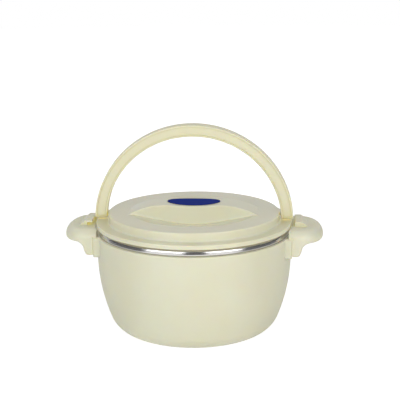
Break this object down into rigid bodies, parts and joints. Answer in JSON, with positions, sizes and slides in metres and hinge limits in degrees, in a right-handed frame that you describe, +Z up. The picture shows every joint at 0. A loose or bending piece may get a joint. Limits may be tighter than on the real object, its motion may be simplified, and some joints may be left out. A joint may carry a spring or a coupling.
{
  "type": "insulated casserole",
  "caption": "Insulated food casserole: bowed body with a steel inner pan, lift-off lid with a pinch grip, ear handles at the sides and a swinging half-round bail.",
  "frame": {"origin": "centre of the base, on the surface that the casserole stands on", "axes": "+Z up, +X towards the right-hand side handle, -Y towards the viewer who faces the bail's flat side"},
  "size_m": [0.2832, 0.2148, 0.2296],
  "materials": {
    "body_plastic": "smooth moulded polypropylene, soft gloss, cream",
    "lid_plastic": "smooth moulded polypropylene, soft gloss, cream",
    "bail_plastic": "smooth moulded polypropylene, soft gloss, cream",
    "steel": "polished stainless steel",
    "hardware": "zinc-plated steel",
    "seal": "matt translucent silicone",
    "foam": "rigid closed-cell foam",
    "badge": "glossy blue"
  },
  "bodies": {
    "pot": {"outer_shell": "body_plastic", "inner_pan": "steel", "body_foam": "foam", "rim_seal": "seal", "fill_plug": "body_plastic", "left_handle": "body_plastic", "right_handle": "body_plastic", "left_handle_screws": "hardware", "right_handle_screws": "hardware"},
    "lid": {"lid_cover": "lid_plastic", "lid_liner": "steel", "lid_foam": "foam", "lid_gasket": "seal", "lid_badge": "badge", "left_pivot_pin": "hardware", "right_pivot_pin": "hardware"},
    "bail": {"bail_handle": "bail_plastic"}
  },
  "joints": [
    {"name": "lid_lift", "type": "slide", "parent": "pot", "child": "lid", "axis": [0, 0, 1], "range_m": [0, 0.15]},
    {"name": "bail_swing", "type": "hinge", "parent": "lid", "child": "bail", "pos_m": [0, 0, 0.1295], "axis": [1, 0, 0], "range_deg": [-68.6, 61.4]}
  ]
}
